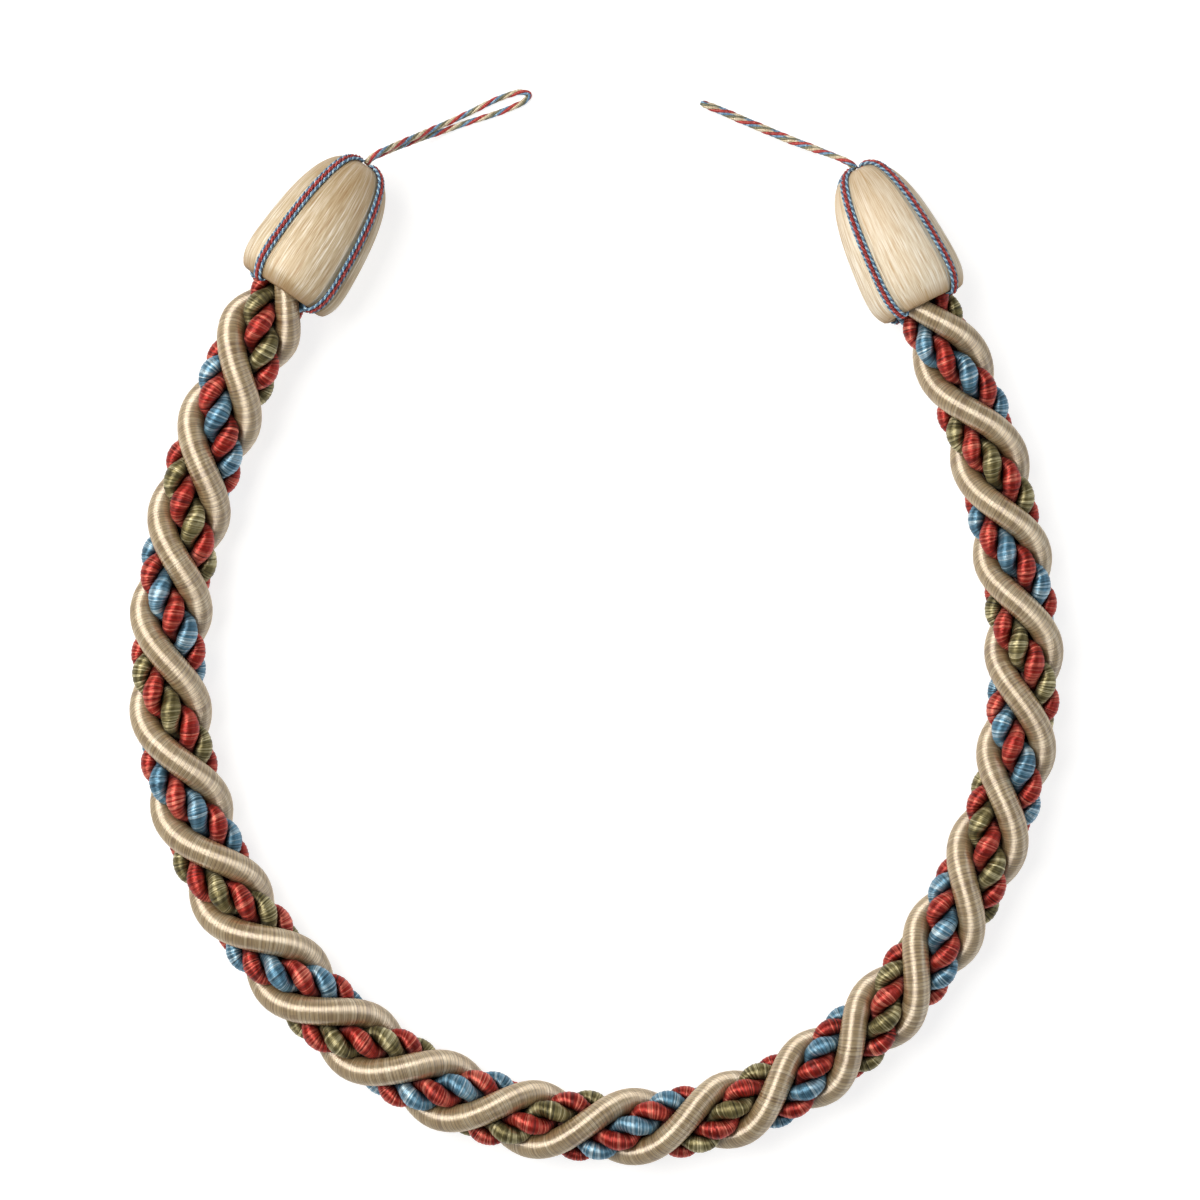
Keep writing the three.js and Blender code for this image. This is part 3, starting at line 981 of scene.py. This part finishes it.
def pale_paper():
    g = Graph("pale_paper")
    shader = g.node(
        "ShaderNodeBsdfPrincipled",
        {
            "Base Color": (PAPER_TONE, PAPER_TONE, PAPER_TONE, 1),
            "Roughness": PAPER_ROUGHNESS,
            "Specular IOR Level": 0.0,
            "Emission Color": (1, 1, 1, 1),
            "Emission Strength": PAPER_GLOW,
        },
    )
    g.node("ShaderNodeOutputMaterial", {"Surface": shader.outputs[0]})
    return g.material


def make_stage():
    """A pale floor, and pale walls far round it that cast no light on the rope."""
    half = STUDIO_HALF
    low = [(-half, -half, 0), (half, -half, 0), (half, half, 0), (-half, half, 0)]
    high = [(x, y, STUDIO_HEIGHT) for x, y, _ in low]
    walls = [(i, (i + 1) % 4, (i + 1) % 4 + 4, i + 4) for i in range(4)]
    paper = pale_paper()
    for name, points, faces in (("floor", low, [(0, 1, 2, 3)]), ("backdrop", low + high, walls)):
        mesh = bpy.data.meshes.new(name)
        mesh.from_pydata(points, [], faces)
        mesh.materials.append(paper)
        sheet = bpy.data.objects.new(name, mesh)
        sheet.visible_diffuse = sheet.visible_glossy = name == "floor"
        sheet.visible_shadow = name == "floor"
        bpy.context.scene.collection.objects.link(sheet)


def softbox(name, place, width, height, radiance, colour):
    """A flat light that looks at the middle of the ring, as bright all over as stated."""
    data = bpy.data.lights.new(name, "AREA")
    data.shape = "RECTANGLE"
    data.size = width
    data.size_y = height
    data.energy = radiance * math.pi * width * height
    data.color = colour
    light = bpy.data.objects.new(name, data)
    light.location = place
    light.visible_camera = False
    light.rotation_euler = (-Vector(place)).to_track_quat("-Z", "Y").to_euler()
    bpy.context.scene.collection.objects.link(light)


def make_studio():
    world = bpy.data.worlds.new("studio")
    world.use_nodes = True
    world.node_tree.nodes["Background"].inputs["Color"].default_value = (1, 1, 1, 1)
    world.node_tree.nodes["Background"].inputs["Strength"].default_value = ROOM_LIGHT
    bpy.context.scene.world = world
    for light in SOFTBOXES:
        softbox(**light)
    bpy.context.scene.view_settings.view_transform = "Standard"


def make_camera():
    data = bpy.data.cameras.new("camera")
    data.lens = LENS
    data.sensor_width = SENSOR
    camera = bpy.data.objects.new("camera", data)
    height = ROPE_MIDDLE + PICTURE_WIDTH * LENS / SENSOR
    camera.location = (*PICTURE_CENTRE, height)
    bpy.context.scene.collection.objects.link(camera)
    bpy.context.scene.camera = camera


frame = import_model()
BODY = next(iter(frame["bodies"]))

paints = {
    "cream": silk(
        "cream_silk",
        "D8BE8C",
        "704A26",
        "FFF2D4",
        1.0,
        uneven=0.8,
        wave=0.05,
        metal=0.35,
        ior=2.6,
        valleys=1.0,
        drawn_out=1.0,
        crevice_shade=0.6,
    ),
    "red": silk("red_silk", "B8281A", "2C0604", "FF9C84", 2.0, crevice_shade=0.8),
    "olive": silk("olive_silk", "84794A", "1C190B", "F6ECBE", 3.0, crevice_shade=0.8),
    "blue": silk("blue_silk", "6296B4", "0E2230", "E4F8FF", 4.0, crevice_shade=0.8),
    # The filling cord is painted dark: painted shade in the gaps between the strands.
    "core": silk("core_thread", "4A2018", "1A0806", "6A3A2C", 13.0),
    "cap_left": silk(
        "left_cap_silk",
        "CCBA97",
        "A38052",
        "F4EEE2",
        5.0,
        lengthwise=CAP_THREADS,
        roughness=0.55,
        uneven=1.2,
        wave=0.04,
        metal=0.15,
        ior=1.6,
        valleys=0.5,
        darker_top_and_mouth_shade=0.5,
    ),
    # The right cap's silk is a paler copy of the left cap's: painted light, for the light that falls
    # more fully on it.
    "cap_right": silk(
        "right_cap_silk",
        "E4D8C0",
        "B89462",
        "FFFBF2",
        6.0,
        lengthwise=CAP_THREADS,
        roughness=0.6,
        uneven=1.1,
        wave=0.04,
        metal=0.1,
        ior=1.5,
        valleys=0.4,
        darker_top_and_mouth_shade=0.5,
    ),
    "trim_red": silk("trim_red", "C23C34", "7A1C1A", "E07A6E", 7.0, metal=0.3),
    # Each stripe cord's second strand is a darker copy of the first: painted shade along the twist.
    "trim_red_shade": silk("trim_red_shade", "9C2622", "561212", "C04A42", 17.0, metal=0.3),
    "trim_blue": silk("trim_blue", "A4CCE2", "5F87A8", "E4F4FB", 8.0, metal=0.3),
    "trim_blue_shade": silk("trim_blue_shade", "466C92", "233E5A", "7CA2C4", 18.0, metal=0.3),
    "loop_red": silk("loop_red", "BC302A", "6A1816", "DC5C52", 9.0, metal=0.3),
    "loop_blue": silk("loop_blue", "6E9CC0", "2C4C6C", "B8D6E8", 10.0, metal=0.3),
    "loop_cream": silk("loop_cream", "E0D0B0", "9F8A66", "F7EEDC", 11.0, metal=0.3),
    "loop_olive": silk("loop_olive", "7E7C62", "45452C", "A8A684", 12.0, metal=0.3),
}

make_camera()
make_stage()
make_studio()
make_rope(Route(smooth_curve(ROPE_ROUTE, per_span=ROPE_CURVE_STEPS)), paints)
for cap in CAPS:
    make_cap(cap, paints[cap["name"]])
    for number in range(1, STRIPES + 1):
        make_stripe(cap, number, paints)
for loop in LOOPS:
    make_loop(loop, paints)
